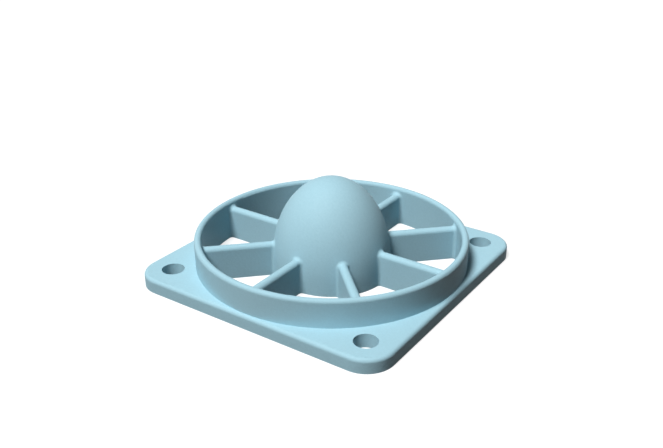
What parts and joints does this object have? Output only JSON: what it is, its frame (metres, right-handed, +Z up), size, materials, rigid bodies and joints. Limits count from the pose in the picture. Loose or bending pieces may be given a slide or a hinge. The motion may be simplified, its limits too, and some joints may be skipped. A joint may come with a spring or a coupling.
{
  "type": "fan guard",
  "caption": "Square one-piece plastic fan guard with a thin round collar, upright radial ribs and a domed hub.",
  "frame": {"origin": "centre of the underside of the mounting plate", "axes": "+Z up out of the dome, along the air's path; +X and +Y along the sides of the square plate"},
  "size_m": [0.04, 0.04, 0.014],
  "materials": {
    "moulded_plastic": "light sky blue moulded plastic with a fine satin grain"
  },
  "bodies": {
    "root": {"fan_guard": "moulded_plastic"}
  },
  "joints": []
}
